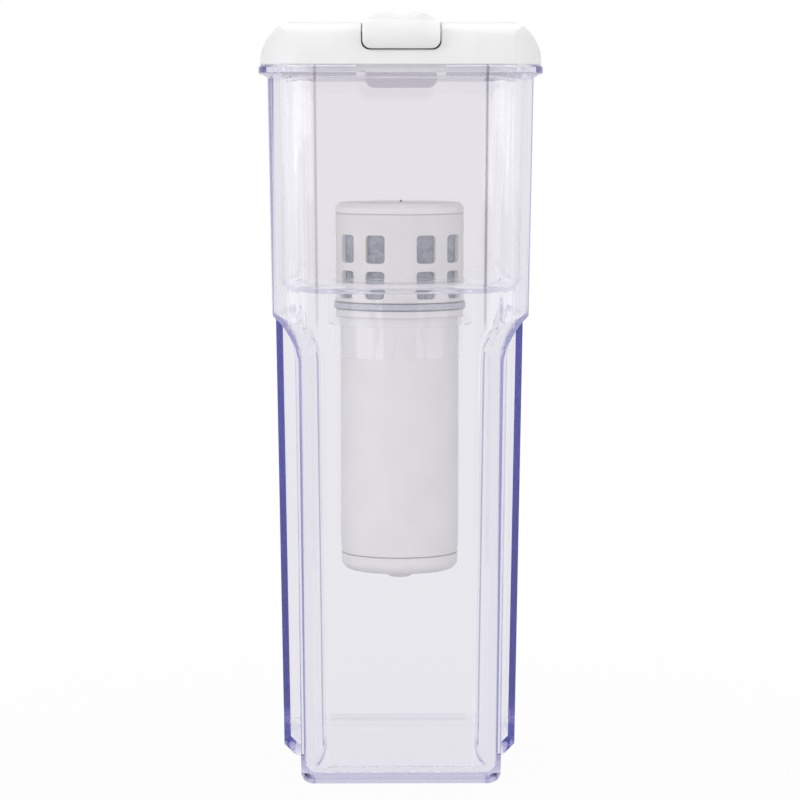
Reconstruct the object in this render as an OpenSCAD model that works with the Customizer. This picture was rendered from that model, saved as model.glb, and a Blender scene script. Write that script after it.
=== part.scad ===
// Slim fridge-door water filter pitcher.
// A clear jug with a grip recess carries a clear raw-water hopper, a drop-in filter cartridge
// and a white lid with a flip-up filling flap and a self-opening pouring flap.
// +Z is up, the grip and the thumb tab face -Y, the pouring lip faces +Y.

/* [Jug] */
// Width of the jug just under its rim
jug_w_top = 93.2; // [88:0.1:113]
// Width of the jug at its base
jug_w_base = 84.8; // [80:0.1:102]
// Depth of the jug just under its rim
jug_d_top = 113; // [108:0.5:136]
// Depth of the jug at its base
jug_d_base = 103; // [98:0.5:124]
// Height of the jug to the top of its rim
jug_h = 252.9; // [225:0.1:305]
// Wall thickness of the jug
jug_wall = 2.4; // [2:0.1:3]
// Thickness of the jug floor
jug_floor = 4; // [2.5:0.1:4.5]
// Plan radius of the jug's corners
jug_corner_r = 16; // [13.5:0.5:19]
// Plan radius of the corners right at the base
foot_corner_r = 8; // [6:0.5:10]
// Height over which the corners sharpen towards the base
foot_flare_h = 11; // [8:0.5:14]
// Size of the bevel round the base
foot_bevel = 4.4; // [2.5:0.1:5.5]
// How far the rim stands out from the wall
rim_out = 3.1; // [2.7:0.1:3.8]
// Thickness of the rim
rim_t = 3; // [2.8:0.1:3.6]

/* [Grip recess] */
// Width between the two recesses at their top
grip_w_top = 73.8; // [64:0.2:78]
// Width between the two recesses at the base
grip_w_base = 70.4; // [58:0.2:72]
// Height at which the recess starts to curve outwards
grip_h = 150.5; // [124:0.5:152]
// Radius of the curve at the top of the recess
grip_arc_r = 18; // [15:0.5:21.5]
// Depth of the recess from the front of the base
grip_depth = 54; // [42:1:60]
// Radius inside the narrow front corners
grip_inner_r = 8.5; // [6:0.5:10]
// Radius along the foot of the narrow part
grip_foot_r = 4.5; // [3.5:0.1:5.5]
// Bevel along the narrow front corners
grip_bevel = 1.2; // [0.8:0.1:1.6]

/* [Hopper] */
// Height of the underside of the hopper floor
hopper_z = 173.5; // [169.5:0.5:177]
// Thickness of the hopper floor
hopper_floor = 2.5; // [2:0.1:3]
// Wall thickness of the hopper
hopper_wall = 2; // [1.6:0.1:2.4]
// Space between hopper and jug
hopper_gap = 1; // [0.8:0.1:1.3]
// Thickness of the hopper's flange
hopper_rim_t = 1.8; // [1.5:0.1:2.2]
// Width of the pouring channel behind the hopper
pour_gap = 15; // [12:0.5:18]
// Radius along the hopper's bottom edge
hopper_edge_r = 5; // [4:0.5:6]

/* [Cartridge] */
// Outer radius of the lower cartridge case
case_r = 21.5; // [18:0.1:22]
// Outer radius of the basket
basket_r = 23.2; // [19.5:0.1:23.5]
// Length of the cartridge below its seat
case_len = 86.2; // [72:0.2:100]
// Height of the basket above the seal
basket_h = 31.4; // [29.6:0.2:38.4]
// Wall thickness of case and basket
case_wall = 1.7; // [1.4:0.1:2]
// Width of a basket window
window_w = 7.4; // [5.5:0.1:8]
// Height of a basket window
window_h = 10; // [9:0.1:11]
// Angle between neighbouring windows
window_step = 32; // [30:0.5:34]
// Angle of the first window from the front
window_first = 23.5; // [21:0.5:26]
// Height of the carbon filling
carbon_h = 20.5; // [17:0.5:24]
// Number of fibre loops shown in the bundle
fibre_rows = 5; // [3:1:5]

/* [Lid] */
// Height of the lid
lid_h = 14.6; // [13:0.1:17.6]
// Wall thickness of the lid
lid_wall = 2; // [1.7:0.1:2.2]
// How far the lid's side edges reach in before the top is flat
side_reach = 11.6; // [10.6:0.1:12.4]
// Radius at the top of the lid's side edges
side_r = 7.5; // [6.5:0.1:8.5]
// How far the lid's front and back edges reach in before the top is flat
end_reach = 8; // [7.4:0.1:9]
// Radius at the top of the lid's front and back edges
end_r = 6.5; // [5.5:0.1:6.9]
// How far the lid's edge stays inside the rim
lid_inset = 0.6; // [0.4:0.1:1]

/* [Flip lid] */
// Width of the thumb tab
tab_w = 26.8; // [24:0.2:32]
// Width of the flap behind the tab
flap_w = 54; // [50:0.5:58]
// Thickness of the flap
flap_t = 2.2; // [2:0.1:2.4]
// Distance from the middle of the lid to the hinge
hinge_y = 12; // [9:0.5:15]
// Height of the thumb tab above the lid
tab_rise = 4; // [3.6:0.1:4.6]
// How far the tab bulges in front of the lid
tab_bulge = 3.6; // [3:0.1:4.2]
// Radius of the hinge trunnions
trunnion_r = 1.5; // [1.3:0.1:1.6]

/* [Spout] */
// Width of the pouring flap
spout_w = 27; // [24:0.5:32]
// How far the lip stands out from the rim
lip_out = 2.7; // [2:0.1:3.4]

/* [Fits] */
// Gap between parts that lift off each other
fit = 0.3; // [0.25:0.05:0.4]
// Radial clearance of a running trunnion
run_fit = 0.05; // [0.03:0.01:0.08]
// Gap around the flaps
flap_gap = 0.4; // [0.35:0.05:0.5]

/* [Hidden] */

$fn = 64;
eps = 0.01;
far = 200;
corner_steps = 12;
wide_steps = 8;
tight_steps = 8;

// Colours
clear_tint = [0.86, 0.85, 0.93, 0.45];
white_plastic = [0.95, 0.95, 0.94];
warm_white = [0.90, 0.89, 0.87];
silicone = [0.74, 0.78, 0.84];
charcoal = [0.24, 0.26, 0.30];
mesh_grey = [0.62, 0.66, 0.72];
fibre_white = [0.93, 0.92, 0.88];
resin = [0.86, 0.80, 0.66];

// Derived sizes of the jug
grip_y = -jug_d_base / 2 + grip_depth;
grip_slope = (grip_w_top - grip_w_base) / 2 / grip_h;
rim_half_w = jug_w_top / 2 + rim_out;
rim_half_d = jug_d_top / 2 + rim_out;
rim_fillet = 1.6;
rim_round = 0.5;

// Derived sizes of the hopper and the cartridge seat
hopper_top = jug_h + hopper_rim_t;
mouth_half_w = jug_w_top / 2 - jug_wall - hopper_gap - hopper_wall;
mouth_front = -jug_d_top / 2 + jug_wall + hopper_gap + hopper_wall;
tank_back = jug_d_top / 2 - jug_wall - pour_gap;
mouth_back = tank_back - hopper_wall;
tank_front_r = jug_corner_r - 1.5;
tank_back_r = 11;
tongue_w = 30.3;
tongue_h = 2.1;
gasket_h = 2.4;
cartridge_y = -2;
seat_z = hopper_z - 10.2;
seat_r = basket_r + 1.1;
throat_r = case_r + 0.5;
well_r = seat_r + 1.8;
well_step_z = seat_z - 3;
skirt_z = seat_z - 14.6;
skirt_r = throat_r + 1.8;

// Derived sizes of the cartridge
case_flange_t = 2.3;
case_top = seat_z + fit + case_flange_t;
seal_h = 2.9;
basket_z = case_top + seal_h + fit;
basket_top = basket_z + basket_h;
cap_h = 3.7;
seam_bevel = 0.3;
outlet_cap_h = 6.2;
case_bottom = seat_z - case_len;
case_taper = 0.3;
potting_h = 8;
pad_h = 3;
neck_r = case_r - case_wall - 0.1;
spigot_r = basket_r - case_wall;
row_gap = 2.9;
window_low = basket_z + 1;

// Derived sizes of the lid
lid_z = jug_h + fit;
lid_top = lid_z + lid_h;
lid_half_w = rim_half_w - lid_inset;
lid_half_d = rim_half_d - lid_inset;
lid_corner_r = jug_corner_r + rim_out - lid_inset;
end_wide_r = wide_r(end_reach, end_r);
liner_z = hopper_top + fit;
liner_t = 1.5;
liner_gap = 0.25;
flange_gap = 0.5;
skirt_gap = 1.5;
liner_back = mouth_back - skirt_gap;
knuckle_r = 2.4;
hinge_z = lid_top - knuckle_r;
hinge_back_gap = 0.8;
flap_front = -lid_half_d + 18;
chimney_wall = 2.2;
chimney_half_w = flap_w / 2 + 0.6;
chimney_front = flap_front - 0.6;
chimney_back = hinge_y - knuckle_r - 0.6;
chimney_top = lid_top - flap_t - 0.6;
chimney_r = 6;
ear_t = 3.5;
trunnion_l = 3;
tab_low = lid_z + 5.4;
tab_face_r = 7.5;
tab_face_y = -lid_half_d - tab_bulge + tab_face_r;
tab_face_z = lid_z + 11;
tab_crest_y = -lid_half_d + 8;
tab_arch_r = 23;
tab_wall = 2;
latch_y = tab_face_y + 5;

// Derived sizes of the pouring flap
spout_axis_angle = 19.5;
spout_knuckle_r = 1.6;
spout_pivot_y = lid_half_d - end_wide_r + (end_wide_r - spout_knuckle_r) * cos(spout_axis_angle);
spout_pivot_z = lid_z + (end_wide_r - spout_knuckle_r) * sin(spout_axis_angle);
spout_trunnion_r = 1;
lip_r = 20;

// ---------- outlines and lofts ----------

function mix(a, b, t) = a + (b - a) * t;
function jug_half_w(z) = mix(jug_w_base, jug_w_top, z / jug_h) / 2;
function jug_half_d(z) = mix(jug_d_base, jug_d_top, z / jug_h) / 2;

// Quarter arc of an outline, from a start angle
function arc_points(cx, cy, r, start) =
    [for (i = [0 : corner_steps]) let (a = start + 90 * i / corner_steps) [cx + r * cos(a), cy + r * sin(a)]];

// Rounded rectangle, counter-clockwise, with its own radius for front and back corners
function outline(half_w, front, back, r_front, r_back) = concat(
    arc_points(half_w - r_back, back - r_back, r_back, 0),
    arc_points(-half_w + r_back, back - r_back, r_back, 90),
    arc_points(-half_w + r_front, front + r_front, r_front, 180),
    arc_points(half_w - r_front, front + r_front, r_front, 270));

// Corner radius of the jug at a height: it sharpens towards the foot
function foot_blend(z) = z >= foot_flare_h ? 1 : sqrt(1 - pow(1 - max(z, 0) / foot_flare_h, 2));
function jug_r(z) = mix(foot_corner_r, jug_corner_r, foot_blend(z));

// Outline of the jug at a height, moved inwards by an inset
function jug_outline(z, inset) =
    let (w = jug_half_w(z) - inset, d = jug_half_d(z) - inset, r = max(jug_r(z) - inset, 1.5))
    outline(w, -d, d, r, r);

// Solid through a stack of [height, outline] sections, bottom first
module loft(sections) {
    n = len(sections[0][1]);
    levels = len(sections);
    points = [for (s = sections) for (p = s[1]) [p.x, p.y, s[0]]];
    sides = [for (k = [0 : levels - 2]) for (i = [0 : n - 1])
        let (j = (i + 1) % n, low = k * n, high = (k + 1) * n)
        each [[low + i, high + i, high + j], [low + i, high + j, low + j]]];
    base = [for (i = [0 : n - 1]) i];
    top = [for (i = [n - 1 : -1 : 0]) (levels - 1) * n + i];
    polyhedron(points, concat([base], sides, [top]));
}

// Flat plate with a rounded rectangular outline
module rounded_plate(half_w, front, back, r, z, t) {
    translate([0, 0, z]) linear_extrude(t) rounded_area(half_w, front, back, r, r);
}

// Rounded rectangle with its own radius for the front and the back corners
module rounded_area(half_w, front, back, r_front, r_back) {
    middle = (front + back) / 2;
    translate([-half_w + r_front, front]) square([2 * (half_w - r_front), middle - front + eps]);
    translate([-half_w + r_back, middle]) square([2 * (half_w - r_back), back - middle]);
    translate([-half_w, front + r_front]) square([2 * half_w, back - front - r_front - r_back]);
    for (side = [-1, 1]) {
        translate([side * (half_w - r_front), front + r_front]) circle(r_front);
        translate([side * (half_w - r_back), back - r_back]) circle(r_back);
    }
}

// Extrudes an outline drawn in X and Z along Y, from y0 to y1
module along_y(y0, y1) {
    translate([0, y1, 0]) rotate([90, 0, 0]) linear_extrude(y1 - y0) children();
}

// Extrudes an outline drawn in Y and Z along X, centred on the middle
module along_x(half) {
    rotate([90, 0, 90]) translate([0, 0, -half]) linear_extrude(2 * half) children();
}

// Straight cylinder along X between two distances from the middle
module x_rod(x0, x1, y, z, r) {
    translate([x0, y, z]) rotate([0, 90, 0]) cylinder(r = r, h = x1 - x0);
}

// ---------- jug ----------

foot_levels = [0, 1.5, 3, 4.4, 6, 8, foot_flare_h];

module jug_outer() {
    loft(concat(
        [for (z = [0, foot_bevel]) [z, jug_outline(z, foot_bevel - z)]],
        [for (z = foot_levels) if (z > foot_bevel + 0.5) [z, jug_outline(z, 0)]],
        [[jug_h, jug_outline(jug_h, 0)]]));
}

module jug_cavity() {
    bevel = 3;
    base = jug_floor;
    loft(concat(
        [for (z = [0, bevel]) [base + z, jug_outline(base + z, jug_wall + bevel - z)]],
        [for (z = foot_levels) if (z > base + bevel + 0.5) [z, jug_outline(z, jug_wall)]],
        [[jug_h + 1, jug_outline(jug_h + 1, jug_wall)]]));
}

// Space of one grip recess, drawn in X and Z and grown by the wall for the inside
module grip_area(grow) {
    top_x = grip_w_top / 2 - grow;
    base_x = grip_w_base / 2 - grow;
    polygon([[top_x, grip_h], [base_x, 0], [base_x - grip_slope * 5, -5], [far, -5], [far, grip_h]]);
    translate([top_x + grip_arc_r + grow, grip_h]) circle(r = grip_arc_r + grow, $fn = 96);
}

// Rounds the foot of the narrow part
module grip_foot_area() {
    r = grip_foot_r;
    translate([grip_w_base / 2 - r, 0]) difference() {
        translate([0, -5]) square([r + 2, r + 5]);
        translate([0, r]) circle(r);
    }
}

// Rounds the inside foot of the narrow part
module grip_inner_foot_area() {
    r = grip_foot_r - 1;
    translate([grip_w_base / 2 - jug_wall - r, jug_floor]) difference() {
        translate([0, -5]) square([r + 3, r + 5]);
        translate([0, r]) circle(r);
    }
}

// Distance of the recess face from the middle at a height, moved inwards by an inset
function grip_x(z, inset) = z < grip_h
    ? grip_w_base / 2 + grip_slope * z - inset
    : grip_w_top / 2 + grip_arc_r - sqrt(pow(grip_arc_r + inset, 2) - pow(z - grip_h, 2));

// Bevel down one narrow front corner, running out on the curve above it
module grip_corner_bevel() {
    function corner(z) =
        let (r = jug_r(z), dx = grip_x(z, 0) - jug_half_w(z) + r)
        [grip_x(z, 0), -jug_half_d(z) + r - sqrt(r * r - dx * dx)];
    runout = grip_arc_r / 2;
    levels = [[foot_flare_h, 1], [grip_h, 1], [grip_h + runout / 2, 0.6], [grip_h + runout, 0.05]];
    loft([for (level = levels) let (z = level[0], b = grip_bevel * level[1])
        [z, [for (p = [[-b, -0.5 * b], [b, -2 * b], [b, b], [0, b]]) corner(z) + p]]]);
}

module grip_void() {
    along_y(-far, grip_y) {
        grip_area(0);
        grip_foot_area();
    }
    grip_corner_bevel();
}

// The inside of the jug stands back from the recess by one wall
module grip_wall_void() {
    along_y(-far, grip_y + jug_wall) {
        grip_area(jug_wall);
        grip_inner_foot_area();
    }
    grip_inner_corner();
}

// Rounds the narrow front corners inside, up to where the curve meets the jug's own side
module grip_inner_corner() {
    r = grip_inner_r;
    sunk = 1.5;
    top_x = jug_half_w(grip_h) - jug_wall;
    arc_end = acos((grip_w_top / 2 + grip_arc_r - top_x) / (grip_arc_r + jug_wall));
    levels = concat([0], [for (k = [0 : 5]) grip_h + (grip_arc_r + jug_wall) * sin(arc_end * k / 5)]);
    fillet = [for (i = [corner_steps : -1 : 0]) let (a = 90 * i / corner_steps)
        [r * sin(a) - r + 2 * eps, r - r * cos(a) - 2 * eps]];
    loft([for (z = levels) [z, [for (p = concat(fillet, [[-r, -sunk], [sunk, -sunk], [sunk, r]]))
        [grip_x(z, jug_wall), jug_wall - jug_half_d(z)] + p]]]);
}

module both_sides() {
    children();
    mirror([1, 0, 0]) children();
}

module rim_flange() {
    z0 = jug_h - rim_t;
    loft([
        [z0 - rim_fillet, jug_outline(jug_h, 0.2)],
        [z0 + eps, jug_outline(jug_h, -rim_fillet)]]);
    loft([
        [z0, jug_outline(jug_h, rim_round - rim_out)],
        [z0 + rim_round, jug_outline(jug_h, -rim_out)],
        [jug_h - rim_round, jug_outline(jug_h, -rim_out)],
        [jug_h, jug_outline(jug_h, rim_round - rim_out)]]);
    translate([0, rim_half_d + lip_out - lip_r, z0]) cylinder(r = lip_r, h = rim_t);
}

// Shallow trough that leads the water over the lip
module pour_trough() {
    trough_r = 24;
    translate([0, 0, jug_h + trough_r - 2.2]) rotate([-90, 0, 0])
        translate([0, 0, jug_d_top / 2 - jug_wall - 1]) cylinder(r = trough_r, h = 20);
}

// Notch through the front of the rim for the hopper's tongue
module tongue_notch() {
    translate([-tongue_w / 2 - fit, -rim_half_d - 1, jug_h - tongue_h - fit])
        cube([tongue_w + 2 * fit, rim_out + jug_wall + 3, tongue_h + fit + 1]);
}

module container() {
    color(clear_tint) difference() {
        union() {
            difference() {
                jug_outer();
                both_sides() grip_void();
            }
            rim_flange();
        }
        difference() {
            jug_cavity();
            both_sides() grip_wall_void();
        }
        tongue_notch();
        pour_trough();
    }
}

// ---------- hopper ----------

// Outline of the raw-water tank at a height, moved inwards by an inset
function tank_outline(z, inset) =
    let (w = jug_half_w(z) - jug_wall - hopper_gap - inset,
         front = -jug_half_d(z) + jug_wall + hopper_gap + inset)
    outline(w, front, tank_back - inset, max(tank_front_r - inset, 1.5), max(tank_back_r - inset, 1.5));

// Heights and insets of a rounded bottom edge
function edge_sections(z0, r, inset) =
    [for (a = [0 : 22.5 : 90]) let (z = z0 + r * (1 - cos(a))) [z, tank_outline(z, inset + r * (1 - sin(a)))]];

module tank_outer() {
    loft(concat(edge_sections(hopper_z, hopper_edge_r, 0), [[jug_h + 1, tank_outline(jug_h, 0)]]));
}

module tank_inner() {
    loft(concat(edge_sections(hopper_z + hopper_floor, hopper_edge_r - 1.5, hopper_wall),
        [[hopper_top + 1, tank_outline(jug_h, hopper_wall)]]));
}

// Slot in the skirt of the well, narrow at its rounded top and flared at its mouth
module skirt_slot_area() {
    top = seat_z - 6.6;
    slot_r = 1.7;
    translate([0, top - slot_r]) circle(slot_r);
    polygon([[-slot_r, top - slot_r], [slot_r, top - slot_r], [slot_r + 0.9, skirt_z + 1.2],
        [slot_r + 2.4, skirt_z - 1], [-slot_r - 2.4, skirt_z - 1], [-slot_r - 0.9, skirt_z + 1.2]]);
}

module hopper() {
    flange_inset = lid_wall + flange_gap;
    flange_half_d = lid_half_d - flange_inset;
    color(clear_tint) difference() {
        union() {
            tank_outer();
            rounded_plate(lid_half_w - flange_inset, -flange_half_d, flange_half_d,
                lid_corner_r - flange_inset, jug_h, hopper_rim_t);
            translate([0, cartridge_y, well_step_z]) cylinder(r = well_r, h = hopper_z + 1 - well_step_z);
            translate([0, cartridge_y, skirt_z]) cylinder(r = skirt_r, h = well_step_z + 1 - skirt_z);
            hopper_tongue();
        }
        tank_inner();
        translate([0, cartridge_y, seat_z]) cylinder(r = seat_r, h = 30);
        translate([0, cartridge_y, skirt_z - 1]) cylinder(r = throat_r, h = 40);
        along_y(cartridge_y - skirt_r - 1, cartridge_y + skirt_r + 1) skirt_slot_area();
        pour_port();
    }
}

// Tongue of the hopper that lies in the notch at the front of the jug's rim
module hopper_tongue() {
    corner_r = 0.8;
    low = jug_h - tongue_h;
    along_y(-rim_half_d + 0.4, mouth_front - hopper_wall / 2) {
        translate([-tongue_w / 2 + corner_r, low]) square([tongue_w - 2 * corner_r, tongue_h + eps]);
        translate([-tongue_w / 2, low + corner_r]) square([tongue_w, tongue_h - corner_r + eps]);
        for (side = [-1, 1])
            translate([side * (tongue_w / 2 - corner_r), low + corner_r]) circle(corner_r);
    }
}

// Opening in the flange through which filtered water reaches the lip
module pour_port() {
    rounded_plate(spout_w / 2 - 0.5, tank_back + 1.5, rim_half_d + 20, 3, jug_h - 1, hopper_rim_t + 2);
}

// Soft ring round the tank, below its tongue, that centres it in the mouth of the jug
module hopper_gasket() {
    z0 = jug_h - tongue_h - fit - gasket_h;
    color(silicone) difference() {
        loft([for (z = [z0, z0 + gasket_h]) [z, tank_outline(z, fit - hopper_gap)]]);
        loft([for (z = [z0 - 1, z0 + gasket_h + 1]) [z, tank_outline(z, 0)]]);
    }
}

// ---------- filter cartridge ----------

module at_cartridge() {
    translate([0, cartridge_y, 0]) children();
}

module cartridge_case() {
    foot_r = case_r - case_taper;
    color(warm_white) at_cartridge() difference() {
        rotate_extrude() polygon([[0, case_bottom], [foot_r - seam_bevel, case_bottom],
            [foot_r, case_bottom + seam_bevel], [case_r, case_bottom + potting_h],
            [case_r, seat_z + fit], [basket_r - 0.1, seat_z + fit], [basket_r - 0.1, case_top],
            [0, case_top]]);
        rotate_extrude() polygon([[0, case_bottom - 1], [foot_r - case_wall, case_bottom - 1],
            [case_r - case_wall, case_bottom + potting_h], [case_r - case_wall, case_top + 1],
            [0, case_top + 1]]);
    }
}

module outlet_cap() {
    edge_r = 3.5;
    r = case_r - case_taper;
    z0 = case_bottom - outlet_cap_h;
    nipple_r = 4.4;
    nipple_h = 3.1;
    nipple_edge_r = 1;
    color(warm_white) at_cartridge() difference() {
        union() {
            rotate_extrude() polygon([[0, z0 + edge_r], [r, z0 + edge_r], [r, case_bottom - seam_bevel],
                [r - seam_bevel, case_bottom], [0, case_bottom]]);
            rotate_extrude() {
                square_at(0, z0, r - edge_r, edge_r);
                translate([r - edge_r, z0 + edge_r]) quarter_disc(edge_r);
            }
            rotate_extrude() {
                square_at(0, z0 - nipple_h, nipple_r - nipple_edge_r, nipple_h + 1);
                square_at(0, z0 - nipple_h + nipple_edge_r, nipple_r, nipple_h - nipple_edge_r + 1);
                translate([nipple_r - nipple_edge_r, z0 - nipple_h + nipple_edge_r])
                    quarter_disc(nipple_edge_r);
            }
        }
        translate([0, 0, z0 + 2]) cylinder(r = r - case_wall - 2, h = outlet_cap_h);
        for (a = [0 : 90 : 270])
            rotate(a) translate([2, 0, z0 - nipple_h - 1]) cylinder(r = 0.7, h = nipple_h + 4);
    }
}

module square_at(x, y, w, h) {
    translate([x, y]) square([w, h]);
}

// Lower outer quarter of a disc
module quarter_disc(r) {
    intersection() {
        circle(r);
        translate([0, -r]) square([r, r]);
    }
}

module potting_plug() {
    color(resin) at_cartridge() translate([0, 0, case_bottom])
        cylinder(r1 = neck_r - case_taper, r2 = neck_r, h = potting_h);
}

module fibre_bundle() {
    fibre_r = 0.9;
    row_pitch = 6.2;
    loop_pitch = 4;
    smallest = 3;
    foot_z = case_bottom + potting_h;
    reach = case_top - pad_h - fit;
    color(fibre_white) at_cartridge()
        for (row = [0 : fibre_rows - 1]) {
            y = (row - (fibre_rows - 1) / 2) * row_pitch;
            room = sqrt(pow(neck_r - 2, 2) - y * y);
            largest = smallest + loop_pitch * floor((room - smallest) / loop_pitch);
            for (bend = [smallest : loop_pitch : largest])
                translate([0, y, 0]) fibre_loop(bend, foot_z, reach - fibre_r - largest, fibre_r);
        }
}

// One fibre bent into a hairpin with both ends in the potting
module fibre_loop(bend, foot_z, top_z, r) {
    translate([0, 0, top_z]) rotate([90, 0, 0]) rotate_extrude(angle = 180, $fn = 48)
        translate([bend, 0]) circle(r, $fn = 16);
    for (x = [-bend, bend])
        translate([x, 0, foot_z]) cylinder(r = r, h = top_z - foot_z, $fn = 16);
}

module screen_pad() {
    color(fibre_white) at_cartridge() translate([0, 0, case_top - pad_h])
        cylinder(r = neck_r, h = pad_h);
}

module seal_ring() {
    z0 = case_top;
    bevel = 0.7;
    r = seat_r - fit;
    color(silicone) at_cartridge() rotate_extrude() polygon([
        [spigot_r - 0.6, z0], [r - bevel, z0], [r, z0 + bevel],
        [r, z0 + seal_h - bevel], [r - bevel, z0 + seal_h],
        [spigot_r - 0.6, z0 + seal_h]]);
}

module cartridge_basket() {
    color(warm_white) at_cartridge() difference() {
        union() {
            rotate_extrude() polygon([[0, basket_z - fit], [basket_r, basket_z - fit],
                [basket_r, basket_top - seam_bevel], [basket_r - seam_bevel, basket_top], [0, basket_top]]);
            translate([0, 0, case_top]) cylinder(r = spigot_r - 0.6, h = seal_h + 1);
        }
        translate([0, 0, case_top - 1]) cylinder(r = min(spigot_r - 2, neck_r - 1), h = basket_h + 20);
        translate([0, 0, basket_z + 0.8]) cylinder(r = spigot_r, h = basket_h);
        for (side = [-1, 1])
            for (k = [0 : 4])
                rotate(-90 + side * (window_first + k * window_step)) window_pair();
    }
}

// Two windows above each other, cut outwards from the middle
module window_pair() {
    corner = 1.4;
    for (z = [window_low, window_low + window_h + row_gap])
        translate([spigot_r - 3, 0, z]) rotate([90, 0, 90])
            linear_extrude(8) rounded_area(window_w / 2, 0, window_h, corner, corner);
}

module mesh_sleeve() {
    color(mesh_grey) at_cartridge() difference() {
        translate([0, 0, basket_z + 0.8]) cylinder(r = spigot_r - 0.05, h = basket_h - 4.8);
        translate([0, 0, basket_z]) cylinder(r = spigot_r - 0.45, h = basket_h);
    }
}

module carbon_bed() {
    heap = 2.5;
    r = spigot_r - 0.6;
    heap_r = (r * r + heap * heap) / (2 * heap);
    color(charcoal) at_cartridge() {
        translate([0, 0, basket_z + 0.8]) cylinder(r = r, h = carbon_h - heap);
        intersection() {
            translate([0, 0, basket_z + 0.8 + carbon_h - heap_r]) sphere(r = heap_r, $fn = 64);
            translate([0, 0, basket_z + carbon_h - heap]) cylinder(r = r, h = heap + 2);
        }
    }
}

module cartridge_cap() {
    bevel = 1.5;
    skirt = 3.8;
    roof = 1.8;
    pip_r = 0.4;
    pip_h = 0.9;
    color(warm_white) at_cartridge() {
        difference() {
            rotate_extrude() polygon([[0, basket_top - skirt], [spigot_r - 0.1, basket_top - skirt],
                [spigot_r - 0.1, basket_top], [basket_r - seam_bevel, basket_top],
                [basket_r, basket_top + seam_bevel],
                [basket_r, basket_top + cap_h - bevel], [basket_r - bevel, basket_top + cap_h],
                [0, basket_top + cap_h]]);
            translate([0, 0, basket_top - skirt - 1])
                cylinder(r = spigot_r - 1.8, h = skirt + 1 + cap_h - roof);
        }
        translate([0, 0, basket_top + cap_h - eps]) cylinder(r = pip_r, h = pip_h);
    }
}

// ---------- lid ----------

// Radius of the wide arc that leads from the foot of the lid into the tight arc at its top
function wide_r(reach, tight_r) =
    (pow(reach, 2) + pow(lid_h - tight_r, 2) - pow(tight_r, 2)) / (2 * (reach - tight_r));

// Right edge of the lid's cross-section, moved inwards by an inset, from the foot to the flat top
function edge_curve(half, inset, reach, tight_r) =
    let (wide = wide_r(reach, tight_r), turn = atan((lid_h - tight_r) / (wide - reach)))
    concat(
        [for (i = [0 : wide_steps]) let (a = turn * i / wide_steps)
            [half - wide + (wide - inset) * cos(a), lid_z + (wide - inset) * sin(a)]],
        [for (i = [1 : tight_steps]) let (a = turn + (90 - turn) * i / tight_steps)
            [half - reach + (tight_r - inset) * cos(a), lid_top - tight_r + (tight_r - inset) * sin(a)]]);

// Cross-section of the lid down to z0: its sides lean in, then turn into the top
module arched_area(half, z0, inset, reach, tight_r) {
    right = concat([[half - inset, z0]], edge_curve(half, inset, reach, tight_r));
    last = len(right) - 1;
    polygon(concat(right, [for (i = [last : -1 : 0]) [-right[i].x, right[i].y]]));
}

// The lid as a full body: upright round corners cut through two barrel-shaped edges
module lid_body(inset, z0) {
    w = lid_half_w - inset;
    d = lid_half_d - inset;
    intersection() {
        rounded_plate(w, -d, d, lid_corner_r - inset, z0, lid_top - z0);
        along_y(-d - 1, d + 1) arched_area(lid_half_w, z0 - 1, inset, side_reach, side_r);
        along_x(w + 1) arched_area(lid_half_d, z0 - 1, inset, end_reach, end_r);
    }
}

// Plan of the flap: a rounded plate with the thumb tab's neck in front
module flap_area(grow) {
    neck = tab_w / 2 + grow;
    rounded_area(flap_w / 2 + grow, flap_front - grow, hinge_y + grow + 1, 5 + grow, 5 + grow);
    translate([-flap_w / 2 - grow, hinge_y - 8]) square([flap_w + 2 * grow, 8 + knuckle_r + grow]);
    translate([-neck, -far]) square([2 * neck, far + flap_front + 6]);
}

// Opening in the lid for the flap and its tab
module flap_opening() {
    g = flap_gap;
    corner = 3;
    intersection() {
        translate([0, 0, tab_low - g]) linear_extrude(far) flap_area(g);
        union() {
            translate([-far, -far, lid_top - 4]) cube([2 * far, 2 * far, 20]);
            along_y(-far, flap_front) {
                half = tab_w / 2 + g;
                translate([-half, tab_low - g + corner]) square([2 * half, 30]);
                translate([-half + corner, tab_low - g]) square([2 * (half - corner), 30]);
                for (x = [-half + corner, half - corner])
                    translate([x, tab_low - g + corner]) circle(corner);
            }
        }
    }
    translate([-flap_w / 2 - g, hinge_y, hinge_z])
        cube([flap_w + 2 * g, knuckle_r + hinge_back_gap, knuckle_r + 1]);
    x_rod(-flap_w / 2 - g, flap_w / 2 + g, hinge_y, hinge_z, knuckle_r + hinge_back_gap);
}

module spout_opening() {
    g = flap_gap;
    translate([-spout_w / 2 - g, lid_half_d - lid_wall - 3, lid_z - 1])
        cube([spout_w + 2 * g, 20, spout_pivot_z - lid_z + 1]);
    x_rod(-spout_w / 2 - g, spout_w / 2 + g, spout_pivot_y, spout_pivot_z, spout_knuckle_r + g);
}

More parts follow.
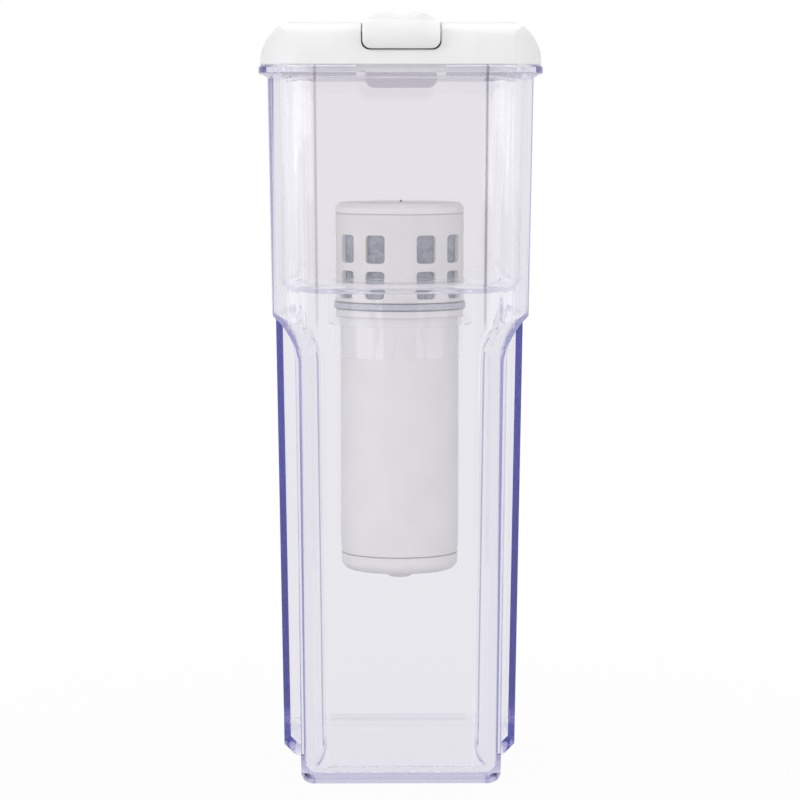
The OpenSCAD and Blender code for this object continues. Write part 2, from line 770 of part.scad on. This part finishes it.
module lid_shell() {
    flip_ear_x = flap_w / 2 + flap_gap;
    spout_ear_x = spout_w / 2 + flap_gap;
    color(white_plastic) difference() {
        union() {
            difference() {
                lid_body(0, lid_z);
                lid_body(lid_wall, lid_z - 1);
            }
            for (x = [flip_ear_x, -flip_ear_x - ear_t])
                translate([x, hinge_y - 3.4, hinge_z - 3]) cube([ear_t, 6.8, 3 + knuckle_r - 0.5]);
            intersection() {
                for (x = [spout_ear_x, -spout_ear_x - ear_t])
                    translate([x, spout_pivot_y - 3, spout_pivot_z - 2.5]) cube([ear_t, 6, 6]);
                lid_body(0.2, lid_z);
            }
        }
        flap_opening();
        spout_opening();
        x_rod(-flip_ear_x - ear_t - 1, flip_ear_x + ear_t + 1, hinge_y, hinge_z, trunnion_r + run_fit);
        x_rod(-spout_ear_x - trunnion_l, spout_ear_x + trunnion_l, spout_pivot_y, spout_pivot_z,
            spout_trunnion_r + run_fit);
    }
}

// Inner panel: carries the filling chimney, the skirt in the hopper's mouth and the front tongue
module lid_liner() {
    skirt_h = 4;
    skirt_t = 1.6;
    color(white_plastic) difference() {
        union() {
            intersection() {
                lid_body(lid_wall + liner_gap, liner_z);
                union() {
                    translate([-far, -far, liner_z]) cube([2 * far, far + liner_back, liner_t]);
                    translate([-far, liner_back - 1.5, liner_z]) cube([2 * far, 1.5, far]);
                }
            }
            latch_catch();
            mouth_block(skirt_gap, liner_z - skirt_h, skirt_h + eps);
            rounded_plate(chimney_half_w, chimney_front, chimney_back, chimney_r, liner_z,
                chimney_top - liner_z);
            front_tongue();
        }
        mouth_block(skirt_gap + skirt_t, liner_z - skirt_h - 1, skirt_h + 1);
        rounded_plate(chimney_half_w - chimney_wall, chimney_front + chimney_wall,
            chimney_back - chimney_wall, chimney_r - chimney_wall, liner_z - 10, far);
    }
}

// Upstand that the flap's latch snaps behind
module latch_catch() {
    half = 10;
    t = 1.6;
    catch_top = liner_z + liner_t + 3.4;
    face = latch_y - 0.8 - 0.5;
    translate([-half, face - t, liner_z]) cube([2 * half, t, catch_top - liner_z]);
    x_rod(-half, half, face - t + 0.4, catch_top - 0.6, 0.6);
}

// Block that fills the hopper's mouth from z0 up, less a gap
module mouth_block(gap, z0, h) {
    translate([0, 0, z0]) linear_extrude(h)
        rounded_area(mouth_half_w - gap, mouth_front + gap, mouth_back - gap,
            tank_front_r - hopper_wall - gap, tank_back_r - hopper_wall - gap);
}

// Locating tongue in the middle of the skirt's front
module front_tongue() {
    half = 12.3;
    corner = 3;
    low = liner_z - 9.8;
    along_y(mouth_front + skirt_gap, mouth_front + skirt_gap + 1.6) {
        translate([-half, low + corner]) square([2 * half, liner_z - low - corner + eps]);
        translate([-half + corner, low]) square([2 * (half - corner), 10]);
        for (x = [-half + corner, half - corner])
            translate([x, low + corner]) circle(corner);
    }
}

// Soft ring round the liner's skirt, inside the hopper's mouth
module lid_gasket() {
    h = 2;
    z0 = liner_z - 3;
    color(silicone) difference() {
        mouth_block(fit, z0, h);
        mouth_block(skirt_gap, z0 - 1, h + 2);
    }
}

// ---------- flip lid ----------

// Side section of the thumb tab, drawn in Y and Z
module tab_section() {
    top = lid_top + tab_rise;
    intersection() {
        union() {
            translate([tab_face_y, tab_face_z]) circle(r = tab_face_r, $fn = 96);
            translate([tab_face_y - 6, tab_face_z]) square([tab_crest_y - tab_face_y + 6, top - tab_face_z]);
            polygon([[tab_crest_y, lid_top - 1], [tab_crest_y, top], [tab_crest_y + 1, top],
                [tab_crest_y + 1 + 1.7 * tab_rise, lid_top], [tab_crest_y + 1 + 1.7 * tab_rise, lid_top - 1]]);
            translate([tab_face_y, tab_face_z]) square([8, tab_face_r]);
        }
        translate([-far, tab_low]) square([far + flap_front, top - tab_low]);
    }
}

// Front view of the thumb tab: rounded lower corners under a low arch
module tab_front_area() {
    corner = 3;
    half = tab_w / 2;
    top = lid_top + tab_rise;
    intersection() {
        translate([0, top - tab_arch_r]) circle(r = tab_arch_r, $fn = 128);
        union() {
            translate([-half, tab_low + corner]) square([2 * half, top]);
            translate([-half + corner, tab_low]) square([2 * (half - corner), top]);
            for (x = [-half + corner, half - corner])
                translate([x, tab_low + corner]) circle(corner);
        }
    }
}

module thumb_tab() {
    dish_r = 16;
    difference() {
        intersection() {
            along_x(tab_w) tab_section();
            along_y(-far, 0) tab_front_area();
        }
        along_x(tab_w / 2 - tab_wall) tab_hollow();
        translate([0, tab_crest_y - 10, lid_top + 1 + dish_r]) sphere(r = dish_r, $fn = 96);
    }
}

// Space under the tab, open downwards and to the back
module tab_hollow() {
    intersection() {
        union() {
            translate([tab_face_y, tab_face_z]) circle(r = tab_face_r - tab_wall, $fn = 96);
            translate([tab_face_y, tab_low - 5]) square([30, tab_face_z - tab_low + 5]);
            translate([tab_face_y, tab_low - 5]) square([30, lid_top - flap_t - tab_low + 5]);
        }
        translate([-far, tab_low - 5]) square([2 * far, lid_top - flap_t - tab_low + 5]);
    }
}

module flip_lid() {
    color(white_plastic) {
        translate([0, 0, lid_top - flap_t]) linear_extrude(flap_t) intersection() {
            flap_area(0);
            translate([-far, tab_face_y]) square([2 * far, hinge_y - tab_face_y]);
        }
        x_rod(-flap_w / 2, flap_w / 2, hinge_y, hinge_z, knuckle_r);
        x_rod(-flap_w / 2 - trunnion_l, flap_w / 2 + trunnion_l, hinge_y, hinge_z, trunnion_r);
        thumb_tab();
    }
}

// Closing plate under the tab with the hook that holds the flap shut
module flip_latch() {
    plate_half = tab_w / 2 - tab_wall - 0.1;
    hook_half = 8;
    hook_t = 1.6;
    hook_bead = 0.8;
    top = lid_top - flap_t;
    hook_low = liner_z + liner_t + 0.6;
    color(white_plastic) {
        translate([-plate_half, latch_y - 4.5, top - hook_t]) cube([2 * plate_half, 9, hook_t]);
        translate([-hook_half, latch_y, hook_low]) cube([2 * hook_half, hook_t, top - hook_low]);
        x_rod(-hook_half, hook_half, latch_y, hook_low + hook_bead, hook_bead);
    }
}

module flip_gasket() {
    inner = chimney_wall + fit;
    h = 2;
    t = 1.6;
    z0 = lid_top - flap_t - h;
    color(silicone) difference() {
        rounded_plate(chimney_half_w - inner, chimney_front + inner, chimney_back - inner,
            chimney_r - inner, z0, h);
        rounded_plate(chimney_half_w - inner - t, chimney_front + inner + t, chimney_back - inner - t,
            chimney_r - inner - t, z0 - 1, h + 2);
    }
}

// ---------- pouring flap ----------

module spout_flap() {
    color(white_plastic) {
        intersection() {
            difference() {
                lid_body(0, lid_z + 0.3);
                lid_body(lid_wall, lid_z - 1);
            }
            translate([-spout_w / 2, lid_half_d - lid_wall - 3, lid_z])
                cube([spout_w, 20, spout_pivot_z - lid_z]);
        }
        x_rod(-spout_w / 2, spout_w / 2, spout_pivot_y, spout_pivot_z, spout_knuckle_r);
        x_rod(-spout_w / 2 - 2.4, spout_w / 2 + 2.4, spout_pivot_y, spout_pivot_z, spout_trunnion_r);
    }
}

container();
hopper();
hopper_gasket();
cartridge_case();
outlet_cap();
potting_plug();
fibre_bundle();
screen_pad();
seal_ring();
cartridge_basket();
mesh_sleeve();
carbon_bed();
cartridge_cap();
lid_shell();
lid_liner();
lid_gasket();
flip_lid();
flip_latch();
flip_gasket();
spout_flap();
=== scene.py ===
import math
import bpy
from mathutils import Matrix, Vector


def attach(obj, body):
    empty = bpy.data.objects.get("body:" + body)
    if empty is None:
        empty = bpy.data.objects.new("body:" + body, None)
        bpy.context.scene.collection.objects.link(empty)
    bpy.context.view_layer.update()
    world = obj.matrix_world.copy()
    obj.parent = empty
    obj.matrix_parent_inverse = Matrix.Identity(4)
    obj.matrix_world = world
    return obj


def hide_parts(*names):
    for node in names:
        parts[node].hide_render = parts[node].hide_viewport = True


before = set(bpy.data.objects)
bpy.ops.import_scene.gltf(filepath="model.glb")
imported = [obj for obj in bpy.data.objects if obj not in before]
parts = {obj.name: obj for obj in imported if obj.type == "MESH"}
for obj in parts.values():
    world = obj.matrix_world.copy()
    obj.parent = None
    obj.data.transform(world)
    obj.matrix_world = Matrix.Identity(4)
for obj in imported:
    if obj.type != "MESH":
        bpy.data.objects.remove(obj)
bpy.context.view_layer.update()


# ---------- shader maths ----------

class Value:
    """An output socket inside a finish, with arithmetic that adds Math nodes."""

    def __init__(self, finish, socket):
        self.finish = finish
        self.socket = socket

    def math(self, operation, *others):
        return self.finish.add("ShaderNodeMath", {"operation": operation}, {0: self, **dict(enumerate(others, 1))})

    def __add__(self, other):
        return self.math("ADD", other)

    def __sub__(self, other):
        return self.math("SUBTRACT", other)

    def __mul__(self, other):
        return self.math("MULTIPLY", other)

    def __truediv__(self, other):
        return self.math("DIVIDE", other)

    def __gt__(self, other):
        return self.math("GREATER_THAN", other)

    def __lt__(self, other):
        return self.math("LESS_THAN", other)

    def __rsub__(self, other):
        return self.finish.add("ShaderNodeMath", {"operation": "SUBTRACT"}, {0: other, 1: self})

    __radd__ = __add__
    __rmul__ = __mul__

    def smooth(self, low, high):
        return self.finish.add("ShaderNodeMapRange", {"interpolation_type": "SMOOTHSTEP"},
                               {"Value": self, "From Min": low, "From Max": high})


class Finish:
    """A node material for one finish, or the world's node tree."""

    def __init__(self, name, tree=None):
        self.material = None
        if tree is None:
            self.material = bpy.data.materials.new(name)
            self.material.use_nodes = True
            tree = self.material.node_tree
        self.tree = tree
        tree.nodes.clear()

    def add(self, kind, settings=None, inputs=None, out=0):
        """Adds a node: its settings first, then the values or links of its sockets."""
        node = self.tree.nodes.new(kind)
        for key, value in (settings or {}).items():
            setattr(node, key, value)
        for key, value in (inputs or {}).items():
            socket = node.inputs[key]
            if isinstance(value, Value):
                self.tree.links.new(value.socket, socket)
            elif isinstance(value, tuple) and len(value) == 3 and socket.type == "RGBA":
                socket.default_value = (*value, 1)
            else:
                socket.default_value = value
        return Value(self, node.outputs[out]) if out is not None and len(node.outputs) else node

    def place(self, scale=(1, 1, 1)):
        """Object coordinates, scaled."""
        here = self.add("ShaderNodeTexCoord", out="Object")
        return self.add("ShaderNodeMapping", None, {"Vector": here, "Scale": scale})

    def axes(self):
        """The three Object coordinates as values."""
        here = self.add("ShaderNodeSeparateXYZ", None, {"Vector": self.place()}, out=None)
        return [Value(self, here.outputs[k]) for k in range(3)]

    def noise(self, scale, detail=2, where=None):
        return self.add("ShaderNodeTexNoise", None,
                        {"Vector": where or self.place(), "Scale": scale, "Detail": detail})

    def blend(self, amount, first, second):
        return self.add("ShaderNodeMix", {"data_type": "RGBA"},
                        {"Factor": amount, 6: first, 7: second}, out=2)

    def bump(self, height, distance, strength=1.0, normal=None):
        inputs = {"Height": height, "Distance": distance, "Strength": strength}
        if normal:
            inputs["Normal"] = normal
        return self.add("ShaderNodeBump", None, inputs)

    def softened(self, radius):
        """The surface's direction with its sharp edges rounded to a radius."""
        return self.add("ShaderNodeBevel", {"samples": 8}, {"Radius": radius})

    def surface(self, shader, volume=None):
        sockets = {"Surface": shader}
        if volume:
            sockets["Volume"] = volume
        self.add("ShaderNodeOutputMaterial", None, sockets)
        return self.material


def principled(finish, **sockets):
    return finish.add("ShaderNodeBsdfPrincipled", None, {key.replace("_", " "): v for key, v in sockets.items()})


# ---------- finishes ----------

# Past this many bounces, light caught inside a clear wall goes straight on, so that no wall renders black
escape_depth = 18
# Places on the clear walls, in metres: the painted shade lines down the front corners and along the floor's back
# edge, the underside and the foot's front face
corner_shade_line_x = 0.02795
corner_shade_line_lean = 0.0076
floor_shade_line_z = 0.0052
underside_z = 0.0006
foot_face_z = 0.0044
foot_face_y = -0.04
# Share of the foot's front face that is seen straight through
foot_face_share = 0.45
# Tints of the painted shade lines on the clear walls; the right corner line is darker because the light falls from
# the left
corner_shade_tint_left = (0.84, 0.80, 0.80)
corner_shade_tint_right = (0.68, 0.67, 0.72)
floor_shade_line_tint = (0.88, 0.88, 0.90)
violet_body = (0.573, 0.573, 0.812)


def clear_tint(f, back_tint, x, y, z):
    """Tint of a clear wall: painted shade lines down its front corners and along the back edge of its floor, and
    greyer at its back.
    """
    across = x.math("ABSOLUTE")
    # Painted shade: grey lines down the front corners, where the curving wall darkens the view
    off = (across - corner_shade_line_x - z * corner_shade_line_lean).math("ABSOLUTE")
    line = (1 - off.smooth(0.0001, 0.0007)) * y.smooth(-0.044, -0.047) * z.smooth(0.160, 0.166)
    whole = f.blend(y.smooth(0.026, 0.034), (1.0, 1.0, 1.0), back_tint)
    # Painted shade: a grey line along the crease where the floor meets the back wall
    floor_crease_shade = 1 - (z - floor_shade_line_z).math("ABSOLUTE").smooth(0.0003, 0.0008)
    floor_crease_shade = floor_crease_shade * y.smooth(0.045, 0.046) * (1 - across.smooth(0.0255, 0.0265))
    # Painted shade: the left corner line is lighter and the right one darker, as the light falls from the left
    painted_corner_shade = f.blend(x.smooth(-0.01, 0.01), corner_shade_tint_left, corner_shade_tint_right)
    return f.blend(floor_crease_shade, f.blend(line, whole, painted_corner_shade), floor_shade_line_tint)


def clear_plastic(name, density, back_tint=(1.0, 1.0, 1.0), haze=0.015, ior=1.52):
    """Clear moulded plastic with a faint violet body, which deepens where it is seen along the wall."""
    f = Finish(name)
    x, y, z = f.axes()
    flow = f.noise(38, 1, f.place((1, 1, 0.25)))
    scuffs = f.noise(900, 3)
    glass = principled(f, Base_Color=clear_tint(f, back_tint, x, y, z), Transmission_Weight=1.0, IOR=ior,
                       Roughness=scuffs.smooth(0.62, 0.8) * 0.05 + haze, Normal=f.bump(flow, 0.0002, 0.03))
    straight = f.add("ShaderNodeBsdfTransparent", None, {"Color": (0.985, 0.982, 0.986)})
    is_shadow = f.add("ShaderNodeLightPath", out="Is Shadow Ray")
    is_diffuse = f.add("ShaderNodeLightPath", out="Is Diffuse Ray")
    limit = escape_depth - (z < underside_z) * (escape_depth - 0.5)
    trapped = f.add("ShaderNodeLightPath", out="Ray Depth") > limit
    foot_face = (z < foot_face_z) * (y < foot_face_y)
    unbent = is_shadow.math("MAXIMUM", is_diffuse).math("MAXIMUM", trapped)
    unbent = unbent.math("MAXIMUM", foot_face * foot_face_share)
    mix = f.add("ShaderNodeMixShader", None, {"Fac": unbent, 1: glass, 2: straight})
    body = f.add("ShaderNodeVolumeAbsorption", None, {"Color": violet_body, "Density": density})
    return f.surface(mix, body)


# Grey of the seams: dirt in the joint and painted shade in its gap
seam_dirt_and_shade_grey = (0.55, 0.51, 0.49)
# Painted shade: the grey of the lining's hanging tongue, which lies in shadow under the lid
painted_tongue_shade = (0.60, 0.57, 0.60)


def white_plastic(name, colour, rough, edge, grain=0.00002, seams=(), vent_shade_dot=None, tongue=False, glow=0.08):
    """Opaque moulded plastic with softened edges and worn gloss; its seams are greyer with dirt and painted shade,
    a hanging tongue is greyer with painted shade, and a painted dark dot stands for the shade in a vent hole.
    """
    f = Finish(name)
    mottle = f.noise(60, 4)
    fine = f.noise(2600, 2)
    wear = f.noise(240, 5)
    darker = tuple(c * 0.965 for c in colour)
    shade = f.blend(mottle.smooth(0.35, 0.65), darker, colour)
    # Dirt and painted shade darken each seam
    for height in seams:
        depth = (f.axes()[2] - height).math("ABSOLUTE")
        shade = f.blend(1 - depth.smooth(0.0001, 0.0004), shade, seam_dirt_and_shade_grey)
    if tongue:
        x, y, z = f.axes()
        # Painted shade on the low front tongue of the lining
        low = (1 - z.smooth(0.2502, 0.2508)) * (1 - x.math("ABSOLUTE").smooth(0.0132, 0.0136)) * (y < -0.03)
        shade = f.blend(low, shade, painted_tongue_shade)
    # Painted shade: a near-black dot standing in for the shadow inside the cap's vent hole
    if vent_shade_dot:
        place, radius = vent_shade_dot
        reach = f.add("ShaderNodeVectorMath", {"operation": "DISTANCE"}, {0: f.place(), 1: place}, out=1)
        shade = f.blend(reach < radius, shade, (0.06, 0.06, 0.065))
    return f.surface(principled(
        f, Base_Color=shade,
        Roughness=wear.smooth(0.4, 0.7) * 0.08 + rough, IOR=1.5,
        Subsurface_Weight=glow, Subsurface_Radius=(0.004, 0.0036, 0.003), Subsurface_Scale=0.5,
        Normal=f.bump(fine, grain, 0.5, f.softened(edge))))


def granules(name):
    """Charcoal granules of uneven grey."""
    f = Finish(name)
    cells = f.add("ShaderNodeTexVoronoi", None, {"Vector": f.place(), "Scale": 1300.0}, out="Color")
    tone = f.add("ShaderNodeSeparateColor", None, {"Color": cells})
    gap = f.add("ShaderNodeTexVoronoi", None, {"Vector": f.place(), "Scale": 1300.0}, out="Distance")
    return f.surface(principled(
        f, Base_Color=f.blend(tone, (0.05, 0.06, 0.075), (0.16, 0.18, 0.21)),
        Roughness=tone * 0.3 + 0.45, Normal=f.bump(1 - gap, 0.0004)))


def soft_rubber(name, colour, middle):
    """Dusty rubber of a ring whose bevelled edges, away from its middle height, lie in shadow."""
    f = Finish(name)
    dust = f.noise(500, 4)
    face = f.blend(dust.smooth(0.4, 0.7), colour, tuple(min(1, c * 1.12) for c in colour))
    bevel = (f.axes()[2] - middle).math("ABSOLUTE").smooth(0.0009, 0.0012)
    return f.surface(principled(
        f, Base_Color=f.blend(bevel, face, (0.16, 0.17, 0.20)),
        Roughness=dust * 0.2 + 0.4, Subsurface_Weight=0.2, Subsurface_Radius=(0.002, 0.002, 0.002),
        Subsurface_Scale=0.5, Normal=f.bump(f.noise(1500, 2), 0.00003)))


def felt(name, colour):
    f = Finish(name)
    hairs = f.noise(2200, 4, f.place((1, 1, 0.2)))
    return f.surface(principled(
        f, Base_Color=f.blend(hairs, tuple(c * 0.86 for c in colour), colour), Roughness=0.85,
        Sheen_Weight=0.3, Normal=f.bump(hairs, 0.0002)))


def woven(name):
    """Fine screen cloth that lets the granules behind it show."""
    f = Finish(name)
    rows = (f.axes()[2] * (2 * math.pi / 0.00045)).math("SINE")
    threads = rows.smooth(-0.3, 0.7)
    cloudy = f.noise(420, 3).smooth(0.35, 0.7)
    return f.surface(principled(
        f, Base_Color=f.blend(threads, (0.42, 0.46, 0.55), (0.60, 0.64, 0.72)), Roughness=0.6,
        Alpha=threads * 0.15 + cloudy * 0.25 + 0.33, Normal=f.bump(rows, 0.00004)))


def resin(name):
    f = Finish(name)
    cloud = f.noise(140, 3)
    return f.surface(principled(
        f, Base_Color=f.blend(cloud, (0.62, 0.54, 0.36), (0.74, 0.66, 0.48)), Roughness=cloud * 0.1 + 0.18,
        Coat_Weight=0.3, Normal=f.bump(cloud, 0.0003, 0.3)))


# Heights of the cartridge's seams and seal ring in metres, and the place and size of the painted dark dot that
# stands for the shade inside its cap's vent hole
outlet_seam_z = 0.0771
cap_seam_z = 0.2005
seal_middle_z = 0.16735
vent_place = (0, -0.002, 0.2052)
vent_radius = 0.0009

jug_clear = clear_plastic("clear_jug", 33.0)
hopper_clear = clear_plastic("clear_hopper", 6.0, (0.967, 0.952, 0.956))
lid_white = white_plastic("white_lid", (0.86, 0.86, 0.855), 0.3, 0.0007, glow=0.5)
flap_white = white_plastic("white_flap", (0.88, 0.88, 0.876), 0.3, 0.0007, glow=0.5)
# Painted light: the lining is a lighter white than the lid, lifting it where it lies in the lid's shade
lightened_lining_white = white_plastic("white_lining", (0.97, 0.97, 0.97), 0.3, 0.0003, tongue=True)
case_white = white_plastic("warm_white_case", (0.83, 0.815, 0.805), 0.42, 0.0003, seams=(outlet_seam_z,))
basket_white = white_plastic("warm_white_basket", (0.82, 0.80, 0.765), 0.42, 0.0003, seams=(cap_seam_z,))
cap_white = white_plastic("warm_white_cap", (0.885, 0.865, 0.83), 0.42, 0.0003, vent_shade_dot=(vent_place, vent_radius))
seal_blue = soft_rubber("pale_silicone", (0.49, 0.52, 0.56), seal_middle_z)
gasket_clear = clear_plastic("clear_silicone", 3.0, haze=0.12, ior=1.41)
carbon_black = granules("carbon_granules")
screen_cloth = woven("screen_cloth")
fibre_white = felt("off_white_fibre", (0.80, 0.79, 0.75))
potting = resin("amber_resin")


# ---------- pieces ----------

def dress(node, material):
    slots = parts[node].data.materials
    slots.clear()
    slots.append(material)


def smoothed(node, name, body, material, angle):
    """A copy of a faceted node with its points merged and its curves shaded smooth."""
    bpy.ops.object.select_all(action="DESELECT")
    piece = parts[node].copy()
    piece.data = parts[node].data.copy()
    piece.name = name
    bpy.context.scene.collection.objects.link(piece)
    for key in list(piece.keys()):
        del piece[key]
    piece.parent = None
    bpy.context.view_layer.objects.active = piece
    piece.select_set(True)
    bpy.ops.mesh.customdata_custom_splitnormals_clear()
    bpy.ops.object.mode_set(mode="EDIT")
    bpy.ops.mesh.select_all(action="SELECT")
    bpy.ops.mesh.remove_doubles(threshold=0.000004)
    bpy.ops.object.mode_set(mode="OBJECT")
    bpy.ops.object.shade_smooth_by_angle(angle=math.radians(angle))
    piece.data.materials.clear()
    piece.data.materials.append(material)
    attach(piece, body)
    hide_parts(node)
    return piece


def grained(node, name, body, material):
    """A copy of a plain solid whose surface is broken up into grains, all within the solid."""
    piece = smoothed(node, name, body, material, 20)
    bpy.ops.object.select_all(action="DESELECT")
    bpy.context.view_layer.objects.active = piece
    piece.select_set(True)
    grains = bpy.data.textures.new("grains", "VORONOI")
    grains.noise_scale = 0.0022
    remesh = piece.modifiers.new("remesh", "REMESH")
    remesh.voxel_size = 0.0005
    sink = piece.modifiers.new("sink", "DISPLACE")
    sink.texture = grains
    sink.mid_level = 0
    sink.strength = -0.0028
    bpy.ops.object.modifier_apply(modifier="remesh")
    bpy.ops.object.modifier_apply(modifier="sink")
    bpy.ops.object.shade_smooth_by_angle(angle=math.radians(30))
    return piece


smoothed("container", "jug_wall", "jug", jug_clear, 24)
smoothed("hopper", "hopper_wall", "hopper", hopper_clear, 24)
smoothed("lid_shell", "lid_cover", "lid", lid_white, 32)
smoothed("lid_liner", "lid_lining", "lid", lightened_lining_white, 32)
smoothed("spout_flap", "pouring_flap_cover", "pouring_flap", lid_white, 32)
for node in ("flip_lid", "flip_latch"):
    dress(node, flap_white)
dress("cartridge_case", case_white)
dress("outlet_cap", case_white)
dress("cartridge_basket", basket_white)
dress("cartridge_cap", cap_white)
dress("seal_ring", seal_blue)
for node in ("lid_gasket", "flip_gasket", "hopper_gasket"):
    dress(node, gasket_clear)
dress("mesh_sleeve", screen_cloth)
grained("carbon_bed", "carbon_heap", "cartridge", carbon_black)
dress("fibre_bundle", fibre_white)
dress("screen_pad", fibre_white)
dress("potting_plug", potting)


# ---------- floor, light and camera ----------

# What clear and glossy surfaces see of the bright room
through_glass = (0.87, 0.86, 0.875)


def white_when_seen(finish, lit, share):
    """White to the camera and softer in glass and gloss, apart from the lit part that keeps the shadow."""
    path = [finish.add("ShaderNodeLightPath", out=name)
            for name in ("Is Camera Ray", "Is Glossy Ray", "Is Transmission Ray")]
    colour = finish.blend(path[0], through_glass, (1.0, 1.0, 1.0))
    white = finish.add("ShaderNodeEmission", None, {"Color": colour, "Strength": 1.0})
    seen = (path[0] + path[1] + path[2]).math("MINIMUM", 1.0)
    return finish.add("ShaderNodeMixShader", None, {"Fac": seen * share, 1: lit, 2: white})


bpy.ops.object.select_all(action="DESELECT")
bpy.ops.mesh.primitive_plane_add(size=12, location=(0, 3, -0.0002))
floor = bpy.context.object
bpy.ops.object.transform_apply()
floor.name = "floor"
f = Finish("pale_floor")
away = f.add("ShaderNodeVectorMath", {"operation": "LENGTH"}, {0: f.place()}, out=1).smooth(0.08, 0.4)
f.surface(white_when_seen(f, principled(f, Base_Color=(0.66, 0.66, 0.66), Roughness=0.6), away * 0.05 + 0.95))
floor.data.materials.append(f.material)

world = bpy.data.worlds.new("studio")
bpy.context.scene.world = world
world.use_nodes = True
w = Finish("studio", world.node_tree)
soft = w.add("ShaderNodeBackground", None, {"Color": (0.82, 0.82, 0.83), "Strength": 0.80})
w.add("ShaderNodeOutputWorld", None, {"Surface": white_when_seen(w, soft, 1.0)})


def softbox(name, place, aim, width, height, power):
    lamp = bpy.data.lights.new(name, "AREA")
    lamp.shape = "RECTANGLE"
    lamp.size, lamp.size_y = width, height
    lamp.energy = power
    box = bpy.data.objects.new(name, lamp)
    bpy.context.scene.collection.objects.link(box)
    box.location = place
    box.rotation_euler = (Vector(aim) - Vector(place)).to_track_quat("-Z", "Y").to_euler()
    return box


middle = (0, 0, 0.13)
softbox("left_softbox", (-1.2, -0.8, 0.5), middle, 1.6, 1.6, 8.6)
softbox("right_softbox", (1.2, -0.8, 0.5), middle, 1.6, 1.6, 5.4)
softbox("top_softbox", (0, 0.1, 1.4), middle, 1.2, 0.8, 4.9)
front = softbox("front_softbox", (0, -1.5, 0.15), (0, 0, 0.15), 1.4, 0.8, 3.6)
front.visible_glossy = False
front.visible_transmission = False

# The camera's focal length and picture width in pixels, its distance and height in metres, its angles in degrees
focal_px = 3178.1
picture_px = 800
sensor_mm = 36
camera_distance = 1.1565
camera_height = 0.2351
camera_dip = 5.088
camera_turn = -0.6
camera_aim_off = 0.009

camera = bpy.data.cameras.new("camera")
camera.sensor_width = sensor_mm
camera.lens = focal_px / picture_px * sensor_mm
camera.clip_start = 0.05
eye = bpy.data.objects.new("camera", camera)
bpy.context.scene.collection.objects.link(eye)
turn = math.radians(camera_turn)
eye.location = (camera_distance * math.sin(turn), -camera_distance * math.cos(turn), camera_height)
eye.rotation_euler = (math.radians(90 - camera_dip), 0, turn - math.radians(camera_aim_off))

scene = bpy.context.scene
scene.camera = eye
scene.view_settings.view_transform = "Standard"
# Light crosses many clear faces here, and too few bounces turn the walls black
scene.cycles.max_bounces = 32
scene.cycles.glossy_bounces = 32
scene.cycles.transmission_bounces = 32
scene.cycles.transparent_max_bounces = 24
